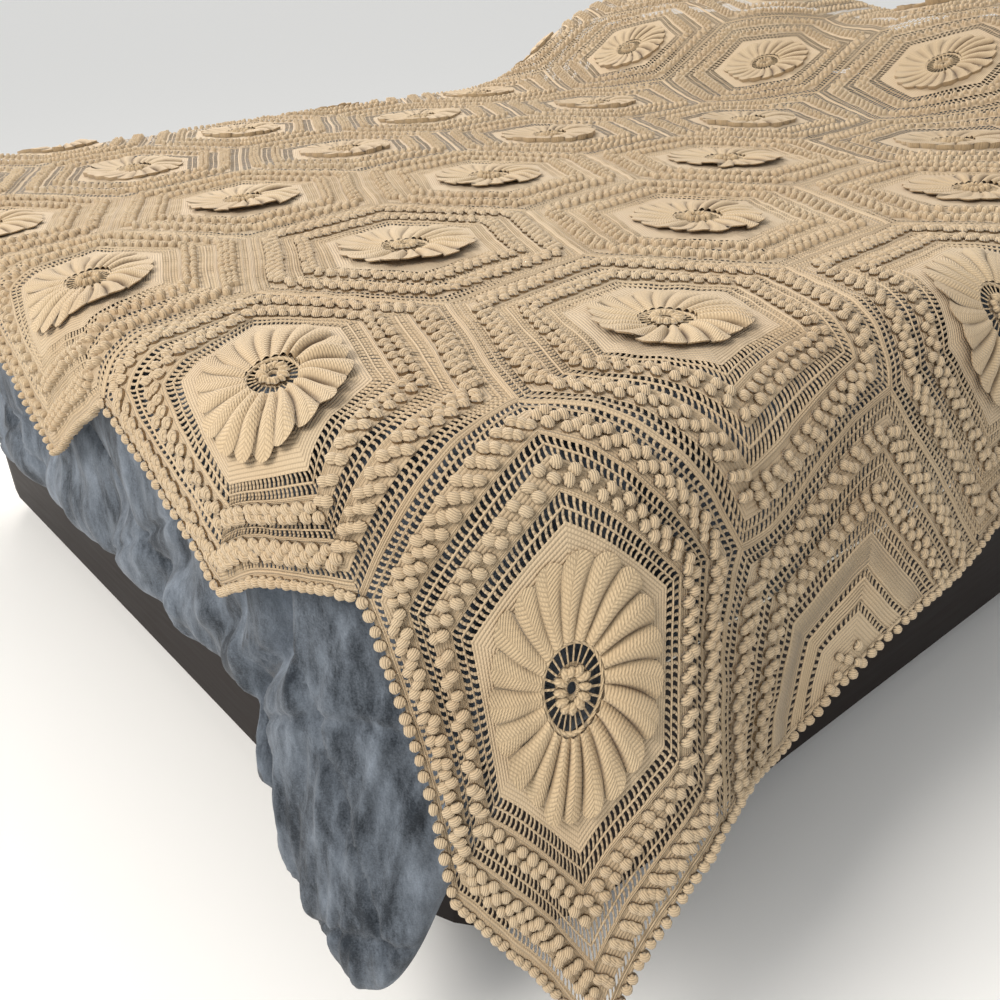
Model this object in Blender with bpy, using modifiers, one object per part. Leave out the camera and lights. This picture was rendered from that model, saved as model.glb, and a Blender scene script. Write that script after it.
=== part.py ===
"""A crochet bedspread lying on a made-up bed.

The bedspread is one sheet, joined from hexagonal motifs, so its foot and head
edges zigzag and its two long edges are straight.  It falls over the foot and
both sides of a bed: a platform base, a mattress, a filled comforter and two
pillows.  All sizes are in metres, the floor is z = 0, the foot of the bed is
towards -Y and the head towards +Y.
"""

import math

import bmesh
import bpy
import numpy as np

# --- the bedspread, flat -----------------------------------------------------
MOTIF_SIDE = 0.215                      # side of one hexagonal motif
COLUMNS = 6                             # whole motifs across an even row
ROWS = 7                                # rows of motifs, foot to head
ROW_EASE = 0.926                        # motifs lie a little slack along the bed
SPREAD_THICK = 0.003

PITCH = math.sqrt(3.0) * MOTIF_SIDE     # flat to flat across a motif
ROW_STEP = 1.5 * MOTIF_SIDE * ROW_EASE
POINT = MOTIF_SIDE * ROW_EASE           # motif centre to its foot or head point
HALF_WIDTH = COLUMNS * PITCH / 2
LAST_ROW = (ROWS - 1) * ROW_STEP

LINES_PER_HALF = 6                      # grid lines across half a motif
FINE_FROM = 15                          # line from the middle where none is skipped
FOOT_LINE, HEAD_LINE = 0.060, LAST_ROW - 0.02   # straight rows behind the zigzags
ROWS_OF_BAND = (7, 8, 7, 3)             # grid rows in the four bands, foot to head

# --- how it was laid: slightly skewed and bowed ------------------------------
SKEW = 0.1165                           # shift towards -X, reached up the bed
SKEW_RUN = 0.55
BOW = 0.0131                            # the long edges lie a little further up

# --- the made-up bed ---------------------------------------------------------
TOP_Z = 0.600                           # top of the bedspread on the flat
EDGE_X = 0.755                          # where the top starts to bend down
EDGE_FOOT = -0.0215
PLAN_CORNER = 0.200                     # corner radius in plan, at the bend
BEND_SIDE = 0.086
BEND_FOOT = 0.054
FLARE_SIDE = math.radians(16)           # lean of the hanging part, outwards
FLARE_FOOT = math.radians(3)
FLARE_CORNER = math.radians(10)
CORNER_SAG = 0.24                       # stretch of a hanging foot corner by its weight
CORNER_SAG_HANG = 0.44                  # hang of a corner's point
SIDE_SAG, SIDE_SAG_AT, SIDE_SAG_RUN = 0.038, 0.245, 0.075   # slack near the foot
SIDE_SAG_FULL = 0.15                    # hang at which the slack is all there
MIDDLE_X = -0.0216                      # the origin is under the middle of the whole
MIDDLE_Y = 0.97185

MOUND = 0.158                           # rise of the cloth over the pillows
MOUND_FRONT, MOUND_TOP = 1.22, 1.80
MOUND_BACK, MOUND_BACK_RUN, MOUND_BACK_DROP = 1.84, 0.22, 0.30
MOUND_CLIMB = 0.020                     # length of cloth the climb takes up
DIP_X, DIP_WIDTH, DIP = -0.07, 0.12, 0.20

# --- soft folds of the hanging parts -----------------------------------------
# place along the edge, half-width, depth at the full drop (outwards is plus)
NEAR_SIDE_FOLDS = (
    (0.07, 0.075, 0.012),
    (0.25, 0.070, -0.024),
    (0.44, 0.085, 0.006),
    (0.70, 0.110, -0.014),
    (1.00, 0.120, 0.016),
    (1.32, 0.110, -0.012),
    (1.66, 0.120, 0.014),
)
FAR_SIDE_FOLDS = (
    (0.12, 0.090, 0.016),
    (0.38, 0.090, -0.018),
    (0.66, 0.100, 0.020),
    (0.98, 0.100, -0.016),
    (1.27, 0.110, 0.014),
    (1.60, 0.100, -0.014),
)
FOOT_FOLDS = (
    (-0.62, 0.080, -0.008),
    (-0.36, 0.090, 0.008),
    (-0.08, 0.080, -0.007),
    (0.20, 0.090, 0.008),
    (0.46, 0.070, -0.008),
)
FULL_DROP = 0.30                        # drop at which a fold has its depth
SWELL_FADE = 0.08                       # drop over which the top's swells fade

# --- the comforter -----------------------------------------------------------
COMFORTER_THICK = 0.032
COMFORTER_GAP = 0.005                   # clear space under the bedspread
COMFORTER_LOW = 0.004                   # its top lies under the lowest swells
COMFORTER_TUCK_SIDE = 0.024             # its hanging parts lie behind the folds
COMFORTER_TUCK_FOOT = 0.008
COMFORTER_SIDE = 0.240                  # flat length beyond the side bend
COMFORTER_FOOT = 0.300                  # and beyond the foot bend
COMFORTER_HEAD = 2.030
COMFORTER_CORNER = 0.140
COMFORTER_LOBE = 0.150                  # the near corner hangs lower, past a cleft
LOBE_FROM, LOBE_RUN = 0.585, 0.060
COMFORTER_PUFF = 0.012                  # swell of the hanging foot end
PUFF_FROM, PUFF_RUN = 0.20, 0.06        # drop where the swell starts, and its length
HEM_TAPER = 0.045                       # width of the border that thins to the hem
HEM_FILL = 0.35                         # share of the filling left at the hem itself
COMFORTER_LINES = (53, 15)              # grid lines across, and down the foot end
# place across the foot, half-width, depth of the trough
COMFORTER_FOLDS = (
    (-0.70, 0.035, 0.018),
    (-0.52, 0.040, 0.014),
    (-0.33, 0.036, 0.018),
    (-0.12, 0.044, 0.013),
    (0.08, 0.036, 0.018),
    (0.29, 0.040, 0.014),
    (0.43, 0.036, 0.017),
    (0.565, 0.032, 0.010),
    (0.660, 0.032, 0.024),
)

# --- mattress, base and pillows ----------------------------------------------
MATTRESS = (1.524, 2.030, 0.2525)       # width, length, height
MATTRESS_EDGE = 0.030
MATTRESS_CORNER = 0.150                 # corner radius in plan
MATTRESS_FOOT = 0.008
BASE = (1.480, 1.990, 0.300)            # a box on a low, set-back plinth
BASE_BOX = 0.255                        # height of the box
BASE_EDGE = 0.006
BASE_CORNER = 0.150
BASE_FOOT = 0.030
BASE_STEPS = 6                          # faces round a corner
PLINTH_BACK = 0.250
REST_GAP = 0.0005
PILLOW = (0.730, 0.460, 0.150)
PILLOW_Y = 1.780
PILLOW_X = (-0.440, 0.320)              # the two centres, a dip between them
PILLOW_ROUND = 2.6                      # how square a pillow is in plan


def smooth(t):
    """A soft step from 0 to 1, level at both ends."""
    t = np.clip(t, 0.0, 1.0)
    return t * t * t * (t * (6.0 * t - 15.0) + 10.0)


def folds(table, place):
    """Sum of the soft ridges and troughs of one table, at places on an edge."""
    total = np.zeros_like(place)
    for centre, half_width, depth in table:
        total += depth * np.exp(-((place - centre) / half_width) ** 2)
    return total


def mound(x, v):
    """Rise of the bedspread over the pillows."""
    rise = smooth((v - MOUND_FRONT) / (MOUND_TOP - MOUND_FRONT))
    fall = 1.0 - MOUND_BACK_DROP * smooth((v - MOUND_BACK) / MOUND_BACK_RUN)
    dip = 1.0 - DIP * np.exp(-((x - DIP_X) / DIP_WIDTH) ** 2)
    return MOUND * rise * fall * dip


def unevenness(x, v):
    """The low swells of a bed top that was made by hand."""
    return (0.0018 * np.sin(5.1 * x + 2.3 * v + 0.6)
            + 0.0013 * np.sin(9.7 * v - 4.2 * x + 1.9)
            + 0.0008 * np.sin(13.0 * x + 6.1 * v))


def fold_growth(hang):
    """How a fold deepens from the bend to the full drop."""
    return np.clip(hang / FULL_DROP, 0.0, 1.0) ** 1.5


def sag(u, v, hang, corner, on_side):
    """Extra drop where the bedspread's own weight stretches it at the foot corners."""
    slack = SIDE_SAG * np.exp(-((v - SIDE_SAG_AT) / SIDE_SAG_RUN) ** 2)
    slack = np.where(u > 0, slack * smooth(hang / SIDE_SAG_FULL) * on_side, 0.0)
    pull = np.minimum(hang / CORNER_SAG_HANG, 1.0) ** 4
    return slack + CORNER_SAG * corner * on_side ** 2 * pull


def lay(u, v, top_layer=True):
    """Where a flat point (u across, v along) comes to lie on the bed.

    Returns the point, how far it hangs past the bend, and its bearing there
    (0 on a side, 90 degrees on the foot).  The top layer has the folds, the
    swells and the rise over the pillows; what is under it lies plainly.
    """
    inner_x = EDGE_X - PLAN_CORNER
    inner_foot = EDGE_FOOT + PLAN_CORNER
    past_x = np.clip(np.abs(u) - inner_x, 0.0, None)
    past_foot = np.clip(inner_foot - v, 0.0, None)
    reach = np.hypot(past_x, past_foot)
    hang = np.clip(reach - PLAN_CORNER, 0.0, None)
    bearing = np.arctan2(past_foot, past_x)
    corner = np.sin(2.0 * bearing) ** 2
    on_side = np.cos(bearing) ** 2

    flare = FLARE_SIDE * on_side + FLARE_FOOT * (1.0 - on_side)
    flare = flare + (FLARE_CORNER - flare) * corner
    bend = BEND_SIDE * on_side + BEND_FOOT * (1.0 - on_side)
    drop = hang + sag(u, v, hang, corner, on_side) if top_layer else hang
    turn = np.minimum(drop / bend, math.pi / 2 - flare)
    straight = np.clip(drop - bend * (math.pi / 2 - flare), 0.0, None)
    outwards = bend * np.sin(turn) + straight * np.sin(flare)
    down = bend * (1.0 - np.cos(turn)) + straight * np.cos(flare)

    if top_layer:
        on_edge = np.where(u > 0, folds(NEAR_SIDE_FOLDS, v), folds(FAR_SIDE_FOLDS, v))
        fold = on_edge * on_side + folds(FOOT_FOLDS, u) * (1.0 - on_side)
        outwards = outwards + fold * fold_growth(hang)

    stretch = np.where(hang > 0, (PLAN_CORNER + outwards) / np.maximum(reach, 1e-9), 1.0)
    x = np.sign(u) * (np.minimum(np.abs(u), inner_x) + past_x * stretch)
    along = np.maximum(v, inner_foot) - past_foot * stretch
    z = TOP_Z - down
    if top_layer:
        z = z + unevenness(u, v) * np.exp(-hang / SWELL_FADE)
        z = z + mound(np.clip(x, -EDGE_X, EDGE_X), v)
        along = along - MOUND_CLIMB * smooth((v - MOUND_FRONT) / (MOUND_TOP - MOUND_FRONT))
    return np.stack([x - MIDDLE_X, along - MIDDLE_Y, z], axis=-1), hang, bearing


def lay_spread(u, v):
    """Where a flat point of the bedspread comes to lie, skewed as it was laid."""
    skewed = u - SKEW * np.tanh(v / SKEW_RUN)
    bowed = v + BOW * (u / (HALF_WIDTH * 5 / 6)) ** 2
    return lay(skewed, bowed)[0]


def outward_normals(points):
    """Unit normals of a grid of points, taken across its neighbours."""
    across = np.gradient(points, axis=0)
    along = np.gradient(points, axis=1)
    normal = np.cross(across, along)
    return normal / np.linalg.norm(normal, axis=-1, keepdims=True)


def grid_object(name, points, collection):
    """An open sheet of quads through a grid of points."""
    columns, rows = points.shape[:2]
    mesh = bpy.data.meshes.new(name)
    sheet = bmesh.new()
    verts = [[sheet.verts.new(points[i, j]) for j in range(rows)] for i in range(columns)]
    for i in range(columns - 1):
        for j in range(rows - 1):
            sheet.faces.new((verts[i][j], verts[i + 1][j],
                             verts[i + 1][j + 1], verts[i][j + 1]))
    sheet.to_mesh(mesh)
    sheet.free()
    obj = bpy.data.objects.new(name, mesh)
    collection.objects.link(obj)
    mesh.shade_smooth()
    return obj


def closed_object(name, outer, inner, collection):
    """A closed body between two grids of points of the same shape."""
    columns, rows = outer.shape[:2]
    mesh = bpy.data.meshes.new(name)
    body = bmesh.new()
    skins = [[[body.verts.new(skin[i, j]) for j in range(rows)] for i in range(columns)]
             for skin in (outer, inner)]
    for i in range(columns - 1):
        for j in range(rows - 1):
            corners = ((i, j), (i + 1, j), (i + 1, j + 1), (i, j + 1))
            body.faces.new([skins[0][a][b] for a, b in corners])
            body.faces.new([skins[1][a][b] for a, b in reversed(corners)])
    around = ([(i, 0) for i in range(columns - 1)]
              + [(columns - 1, j) for j in range(rows - 1)]
              + [(i, rows - 1) for i in range(columns - 1, 0, -1)]
              + [(0, j) for j in range(rows - 1, 0, -1)])
    for (a, b), (c, d) in zip(around, around[1:] + around[:1]):
        body.faces.new((skins[0][c][d], skins[0][a][b], skins[1][a][b], skins[1][c][d]))
    body.to_mesh(mesh)
    body.free()
    obj = bpy.data.objects.new(name, mesh)
    collection.objects.link(obj)
    return obj


def material(name, colour, roughness, metallic=0.0):
    """A Principled BSDF material of one plain colour."""
    mat = bpy.data.materials.new(name)
    mat.use_nodes = True
    shader = mat.node_tree.nodes["Principled BSDF"]
    shader.inputs["Base Color"].default_value = (*colour, 1.0)
    shader.inputs["Roughness"].default_value = roughness
    shader.inputs["Metallic"].default_value = metallic
    return mat


def zigzag(u):
    """Depth of the foot or head edge behind its points, across the sheet."""
    phase = np.abs((u / PITCH) % 1.0 - 0.5) * 2.0
    return POINT / 2 * (1.0 - phase)


def spread_grid():
    """Flat grid lines of the bedspread, closer together where it bends."""
    steps = COLUMNS * LINES_PER_HALF
    ks = [k for k in range(-steps, steps + 1) if abs(k) >= FINE_FROM or k % 3 == 0]
    u = np.array(ks) * PITCH / (2 * LINES_PER_HALF)
    share = np.concatenate([band + np.linspace(0.0, 1.0, count + 1)[:-1]
                            for band, count in enumerate(ROWS_OF_BAND)] + [[4.0]])
    uu, ss = np.meshgrid(u, share, indexing="ij")
    back = zigzag(uu)
    lines = [-POINT + back, np.full_like(uu, FOOT_LINE), np.full_like(uu, MOUND_FRONT),
             np.full_like(uu, HEAD_LINE), LAST_ROW + POINT - back]
    v = lines[0]
    for band in range(4):
        reached = np.clip(ss - band, 0.0, 1.0)
        v = v + (lines[band + 1] - lines[band]) * reached
    return uu, v


def make_bedspread(collection):
    """The bedspread: one draped sheet, thickened downwards."""
    obj = grid_object("bedspread", lay_spread(*spread_grid()), collection)
    thick = obj.modifiers.new("thickness", "SOLIDIFY")
    thick.thickness = SPREAD_THICK
    thick.offset = -1.0
    obj.data.materials.append(material("cotton crochet", (0.60, 0.45, 0.27), 0.85))


def comforter_grid():
    """Flat grid of the comforter, its foot corners rounded."""
    half = EDGE_X + COMFORTER_SIDE
    foot = EDGE_FOOT - COMFORTER_FOOT
    across, down = COMFORTER_LINES
    u = np.linspace(-half, half, across)
    v = np.append(np.linspace(foot, EDGE_FOOT + PLAN_CORNER, down), COMFORTER_HEAD)
    uu, vv = np.meshgrid(u, v, indexing="ij")
    into_x = np.clip(np.abs(uu) - (half - COMFORTER_CORNER), 0.0, None)
    into_foot = np.clip(foot + COMFORTER_CORNER - vv, 0.0, None)
    both = (into_x > 0) & (into_foot > 0)
    shrink = np.where(both, np.maximum(into_x, into_foot)
                      / np.maximum(np.hypot(into_x, into_foot), 1e-9), 1.0)
    uu = uu - np.sign(uu) * into_x * (1.0 - shrink)
    vv = vv + into_foot * (1.0 - shrink)
    to_edge = np.minimum(half - np.abs(uu), np.minimum(vv - foot, COMFORTER_HEAD - vv))
    below = np.clip((EDGE_FOOT + PLAN_CORNER - vv) / (PLAN_CORNER + COMFORTER_FOOT), 0.0, 1.0)
    vv = vv - COMFORTER_LOBE * below * smooth((uu - LOBE_FROM) / LOBE_RUN)
    return uu, vv, to_edge


def make_comforter(collection):
    """The filled comforter: under the bedspread, hanging lower at the foot.

    Its outer face has the folds; its inner face lies smoothly over the
    mattress, and the filling thins out towards the hem.
    """
    uu, vv, to_edge = comforter_grid()
    plain, hang, bearing = lay(uu, vv, top_layer=False)
    normals = outward_normals(plain)
    on_foot = np.sin(bearing) ** 2
    tuck = COMFORTER_TUCK_SIDE * (1.0 - on_foot) + COMFORTER_TUCK_FOOT * on_foot
    inwards = SPREAD_THICK + COMFORTER_GAP + COMFORTER_LOW + tuck * fold_growth(hang)
    filled = HEM_FILL + (1.0 - HEM_FILL) * np.sqrt(np.clip(to_edge / HEM_TAPER, 0.0, 1.0))
    inner = plain - normals * (inwards + COMFORTER_THICK * filled)[..., None]

    trough = folds(COMFORTER_FOLDS, uu) * smooth(hang / FULL_DROP) * on_foot
    puff = COMFORTER_PUFF * smooth((hang - PUFF_FROM) / PUFF_RUN) * on_foot ** 4
    outer = plain - normals * (inwards + trough - puff)[..., None]

    obj = closed_object("comforter", outer, inner, collection)
    obj.data.materials.append(material("plush fabric", (0.15, 0.18, 0.23), 0.95))


def make_box(name, size, foot, bottom, corner, edge, segments, mat, collection):
    """A plain block with rounded corners and edges, its foot face at a given v."""
    mesh = bpy.data.meshes.new(name)
    block = bmesh.new()
    bmesh.ops.create_cube(block, size=1.0)
    bmesh.ops.scale(block, vec=size, verts=block.verts)
    upright = [e for e in block.edges if abs(e.verts[0].co.z - e.verts[1].co.z) > size[2] / 2]
    bmesh.ops.bevel(block, geom=upright, offset=corner, segments=4, profile=0.5,
                    affect="EDGES")
    block.to_mesh(mesh)
    block.free()
    obj = bpy.data.objects.new(name, mesh)
    obj.location = (-MIDDLE_X, foot + size[1] / 2 - MIDDLE_Y, bottom + size[2] / 2)
    collection.objects.link(obj)
    rounding = obj.modifiers.new("rounded edges", "BEVEL")
    rounding.width = edge
    rounding.segments = segments
    rounding.angle_limit = math.radians(50)
    obj.data.materials.append(mat)


def make_base(mat, collection):
    """The bed base: one body, its box standing out over a plinth."""
    turn = np.radians(np.concatenate(
        [np.linspace(quarter, quarter + 90.0, BASE_STEPS + 1) for quarter in (0, 90, 180, 270)]))
    side = np.repeat([[1, 1], [-1, 1], [-1, -1], [1, -1]], BASE_STEPS + 1, axis=0)
    rings = ((0.0, PLINTH_BACK), (BASE[2] - BASE_BOX, PLINTH_BACK),
             (BASE[2] - BASE_BOX, BASE_EDGE), (BASE[2] - BASE_BOX + BASE_EDGE, 0.0),
             (BASE[2] - BASE_EDGE, 0.0), (BASE[2], BASE_EDGE))
    mesh = bpy.data.meshes.new("bed_base")
    body = bmesh.new()
    lines = []
    for z, back in rings:
        reach = np.array(BASE[:2]) / 2 - BASE_CORNER - back
        x = side[:, 0] * reach[0] + BASE_CORNER * np.cos(turn)
        y = side[:, 1] * reach[1] + BASE_CORNER * np.sin(turn)
        lines.append([body.verts.new((a, b, z)) for a, b in zip(x, y)])
    for low, high in zip(lines, lines[1:]):
        for k, vert in enumerate(low):
            body.faces.new((low[k - 1], vert, high[k], high[k - 1]))
    body.faces.new(lines[0][::-1])
    body.faces.new(lines[-1])
    body.to_mesh(mesh)
    body.free()
    obj = bpy.data.objects.new("bed_base", mesh)
    obj.location = (-MIDDLE_X, BASE_FOOT + BASE[1] / 2 - MIDDLE_Y, 0.0)
    collection.objects.link(obj)
    obj.data.materials.append(mat)


def make_pillow(name, centre_x, under, mat, collection):
    """A plain filled pillow, fuller in the middle than at its seam."""
    mesh = bpy.data.meshes.new(name)
    ball = bmesh.new()
    bmesh.ops.create_uvsphere(ball, u_segments=20, v_segments=10, radius=1.0)
    for vert in ball.verts:
        x, y, z = vert.co
        flat = math.hypot(x, y)
        if flat > 1e-6:
            square = (abs(x / flat) ** PILLOW_ROUND
                      + abs(y / flat) ** PILLOW_ROUND) ** (-1.0 / PILLOW_ROUND)
        else:
            square = 1.0
        lift = 0.85 if z > 0 else 0.55
        vert.co = (x * square * PILLOW[0] / 2, y * square * PILLOW[1] / 2,
                   math.copysign(abs(z) ** lift, z) * PILLOW[2] / 2)
    low = -PILLOW[2] / 2 * 0.86
    for vert in ball.verts:
        vert.co.z = max(vert.co.z, low)
    ball.to_mesh(mesh)
    ball.free()
    obj = bpy.data.objects.new(name, mesh)
    obj.location = (centre_x - MIDDLE_X, PILLOW_Y - MIDDLE_Y, under - low)
    collection.objects.link(obj)
    mesh.shade_smooth()
    obj.data.materials.append(mat)


def main():
    """Clear the scene and build the bed from the base up."""
    for obj in list(bpy.data.objects):
        bpy.data.objects.remove(obj, do_unlink=True)
    parts = bpy.data.collections.new("crochet bedspread on a bed")
    bpy.context.scene.collection.children.link(parts)

    make_base(material("dark stained wood", (0.03, 0.016, 0.012), 0.5), parts)
    make_box("mattress", MATTRESS, MATTRESS_FOOT, BASE[2] + REST_GAP, MATTRESS_CORNER,
             MATTRESS_EDGE, 3, material("mattress ticking", (0.75, 0.74, 0.70), 0.9), parts)
    make_comforter(parts)
    pillow_cloth = material("pillow cotton", (0.80, 0.79, 0.76), 0.9)
    comforter_top = TOP_Z - SPREAD_THICK - COMFORTER_GAP - COMFORTER_LOW
    for side, centre_x in zip(("far", "near"), PILLOW_X):
        make_pillow("pillow_" + side, centre_x, comforter_top + REST_GAP, pillow_cloth, parts)
    make_bedspread(parts)


main()
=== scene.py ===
"""The looks of a crochet bedspread that lies on a made-up bed.

The bedspread is joined from hexagonal motifs.  Each motif is worked flat, in
rounds: a centre of bobbles and spokes, a pleated flower, a solid hexagon, and
bands of filet mesh and bobbles.  One drape then lays every flat stitch on the
bed.  Sizes are in metres unless a name ends in _mm, the floor is z = 0, the
foot of the bed is towards -Y and its near long side towards +X.
"""

import logging
import math
from collections.abc import Callable
from dataclasses import dataclass, field
from enum import Enum

import bpy
import numpy as np
from mathutils import Matrix, Vector


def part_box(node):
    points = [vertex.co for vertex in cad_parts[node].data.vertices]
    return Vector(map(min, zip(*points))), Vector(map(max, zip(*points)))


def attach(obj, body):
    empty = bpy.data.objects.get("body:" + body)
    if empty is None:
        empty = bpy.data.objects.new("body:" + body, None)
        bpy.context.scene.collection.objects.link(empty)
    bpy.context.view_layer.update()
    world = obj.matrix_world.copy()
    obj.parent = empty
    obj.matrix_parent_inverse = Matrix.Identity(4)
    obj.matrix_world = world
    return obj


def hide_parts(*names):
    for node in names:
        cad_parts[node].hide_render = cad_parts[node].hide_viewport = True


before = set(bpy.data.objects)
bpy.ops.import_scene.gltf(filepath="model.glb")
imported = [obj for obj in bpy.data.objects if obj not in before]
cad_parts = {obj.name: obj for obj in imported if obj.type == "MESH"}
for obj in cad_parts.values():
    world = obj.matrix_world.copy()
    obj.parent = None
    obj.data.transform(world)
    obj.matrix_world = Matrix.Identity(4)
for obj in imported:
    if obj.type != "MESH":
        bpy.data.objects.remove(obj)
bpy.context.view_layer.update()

LOG = logging.getLogger("bedspread")
MM = 0.001
BAND_WAVE = 6.28                # a wave texture's bands in one unit, at a scale of 1
ROOT3 = math.sqrt(3.0)
TAN30 = math.tan(math.radians(30.0))
Array = np.ndarray


class Fineness(Enum):
    """How finely a motif is worked: more where it is seen from close by."""

    FINE = 0
    MIDDLE = 1
    PLAIN = 2


def smooth(t: Array) -> Array:
    """A soft step, level at both ends.

    Args:
        t: How far along the step, from 0 to 1.

    Returns:
        The height, from 0 to 1.
    """
    t = np.clip(t, 0.0, 1.0)
    return t * t * t * (t * (6.0 * t - 15.0) + 10.0)


def waves(x: Array, y: Array, seed: int, count: int = 5) -> Array:
    """Smooth unevenness between about -1 and 1, as a sum of slanted waves.

    Args:
        x: Places along one direction, in wavelengths.
        y: Places along the other.
        seed: Which unevenness.
        count: How many waves are added.

    Returns:
        The height at each place.
    """
    dice = np.random.default_rng(seed)
    total = np.zeros(np.broadcast(x, y).shape)
    for _ in range(count):
        angle, phase = dice.uniform(0.0, 2.0 * math.pi, 2)
        pace = dice.uniform(0.7, 1.6)
        total += np.sin(2.0 * math.pi * pace * (x * math.cos(angle) + y * math.sin(angle)) + phase)
    return total / math.sqrt(2.0 * count)


# --- the drape: the same named sizes as the solids ---------------------------


@dataclass(frozen=True)
class Drape:
    """How a flat point of cloth comes to lie on the made-up bed."""

    motif_side: float = 0.215
    ease: float = 0.926
    skew: float = 0.1165
    skew_run: float = 0.55
    bow: float = 0.0131
    top_z: float = 0.600
    edge_x: float = 0.755
    edge_foot: float = -0.0215
    plan_corner: float = 0.200
    bend_side: float = 0.086
    bend_foot: float = 0.054
    flare_side: float = math.radians(16)
    flare_foot: float = math.radians(3)
    flare_corner: float = math.radians(10)
    corner_sag: float = 0.24
    corner_sag_hang: float = 0.44
    side_sag: float = 0.038
    side_sag_at: float = 0.245
    side_sag_run: float = 0.075
    side_sag_full: float = 0.15
    middle_x: float = -0.0216
    middle_y: float = 0.97185
    mound_rise: float = 0.158
    mound_front: float = 1.22
    mound_top: float = 1.80
    mound_back: float = 1.84
    mound_back_run: float = 0.22
    mound_back_drop: float = 0.30
    mound_climb: float = 0.020
    dip_x: float = -0.07
    dip_width: float = 0.12
    dip: float = 0.20
    full_drop: float = 0.30
    swell_fade: float = 0.08
    # height, waves across, waves along, phase
    swells: tuple = ((0.0018, 5.1, 2.3, 0.6), (0.0013, -4.2, 9.7, 1.9), (0.0008, 13.0, 6.1, 0.0))
    # place along the edge, half-width, depth at the full drop
    near_side_folds: tuple = (
        (0.07, 0.075, 0.012), (0.25, 0.070, -0.024), (0.44, 0.085, 0.006),
        (0.70, 0.110, -0.014), (1.00, 0.120, 0.016), (1.32, 0.110, -0.012),
        (1.66, 0.120, 0.014))
    far_side_folds: tuple = (
        (0.12, 0.090, 0.016), (0.38, 0.090, -0.018), (0.66, 0.100, 0.020),
        (0.98, 0.100, -0.016), (1.27, 0.110, 0.014), (1.60, 0.100, -0.014))
    foot_folds: tuple = (
        (-0.62, 0.080, -0.008), (-0.36, 0.090, 0.008), (-0.08, 0.080, -0.007),
        (0.20, 0.090, 0.008), (0.46, 0.070, -0.008))

    @staticmethod
    def folds(table: tuple, place: Array) -> Array:
        """Sum of the soft ridges and troughs of one table.

        Args:
            table: Rows of place, half-width and depth.
            place: Places along the edge.

        Returns:
            The depth at each place.
        """
        total = np.zeros_like(place)
        for centre, half_width, depth in table:
            total += depth * np.exp(-((place - centre) / half_width) ** 2)
        return total

    def mound(self, x: Array, v: Array) -> Array:
        """Rise of the cloth over the pillows, with a dip between them.

        Args:
            x: Places across the bed.
            v: Places along it.

        Returns:
            The rise.
        """
        rise = smooth((v - self.mound_front) / (self.mound_top - self.mound_front))
        fall = 1.0 - self.mound_back_drop * smooth((v - self.mound_back) / self.mound_back_run)
        dip = 1.0 - self.dip * np.exp(-((x - self.dip_x) / self.dip_width) ** 2)
        return self.mound_rise * rise * fall * dip

    def sag(self, u: Array, v: Array, hang: Array, corner: Array, on_side: Array) -> Array:
        """Extra drop where the cloth's own weight stretches it at the foot corners.

        Args:
            u: Places across the bed.
            v: Places along it.
            hang: How far each hangs past the bend.
            corner: How near its bearing is to a corner's.
            on_side: How near it is to a side's.

        Returns:
            The extra drop.
        """
        slack = self.side_sag * np.exp(-((v - self.side_sag_at) / self.side_sag_run) ** 2)
        slack = np.where(u > 0, slack * smooth(hang / self.side_sag_full) * on_side, 0.0)
        pull = np.minimum(hang / self.corner_sag_hang, 1.0) ** 4
        return slack + self.corner_sag * corner * on_side ** 2 * pull

    def lay(self, u: Array, v: Array, top_layer: bool = True) -> tuple:
        """Lays flat points on the bed.

        Args:
            u: Places across the bed.
            v: Places along it, from the foot.
            top_layer: Whether the folds, swells and the pillows' rise show.

        Returns:
            The points, how far each hangs past the bend, and its bearing there.
        """
        inner_x = self.edge_x - self.plan_corner
        inner_foot = self.edge_foot + self.plan_corner
        past_x = np.clip(np.abs(u) - inner_x, 0.0, None)
        past_foot = np.clip(inner_foot - v, 0.0, None)
        reach = np.hypot(past_x, past_foot)
        hang = np.clip(reach - self.plan_corner, 0.0, None)
        bearing = np.arctan2(past_foot, past_x)
        corner = np.sin(2.0 * bearing) ** 2
        on_side = np.cos(bearing) ** 2
        flare = self.flare_side * on_side + self.flare_foot * (1.0 - on_side)
        flare = flare + (self.flare_corner - flare) * corner
        bend = self.bend_side * on_side + self.bend_foot * (1.0 - on_side)
        drop = hang + self.sag(u, v, hang, corner, on_side) if top_layer else hang
        turn = np.minimum(drop / bend, math.pi / 2 - flare)
        straight = np.clip(drop - bend * (math.pi / 2 - flare), 0.0, None)
        outwards = bend * np.sin(turn) + straight * np.sin(flare)
        down = bend * (1.0 - np.cos(turn)) + straight * np.cos(flare)
        if top_layer:
            on_edge = np.where(u > 0, self.folds(self.near_side_folds, v),
                               self.folds(self.far_side_folds, v))
            fold = on_edge * on_side + self.folds(self.foot_folds, u) * (1.0 - on_side)
            outwards = outwards + fold * np.clip(hang / self.full_drop, 0.0, 1.0) ** 1.5
        stretch = np.where(hang > 0, (self.plan_corner + outwards) / np.maximum(reach, 1e-9), 1.0)
        x = np.sign(u) * (np.minimum(np.abs(u), inner_x) + past_x * stretch)
        along = np.maximum(v, inner_foot) - past_foot * stretch
        z = self.top_z - down
        if top_layer:
            swell = sum(height * np.sin(across * u + along_bed * v + phase)
                        for height, across, along_bed, phase in self.swells)
            z = z + swell * np.exp(-hang / self.swell_fade)
            z = z + self.mound(np.clip(x, -self.edge_x, self.edge_x), v)
            climb = smooth((v - self.mound_front) / (self.mound_top - self.mound_front))
            along = along - self.mound_climb * climb
        return np.stack([x - self.middle_x, along - self.middle_y, z], axis=-1), hang, bearing

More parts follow.
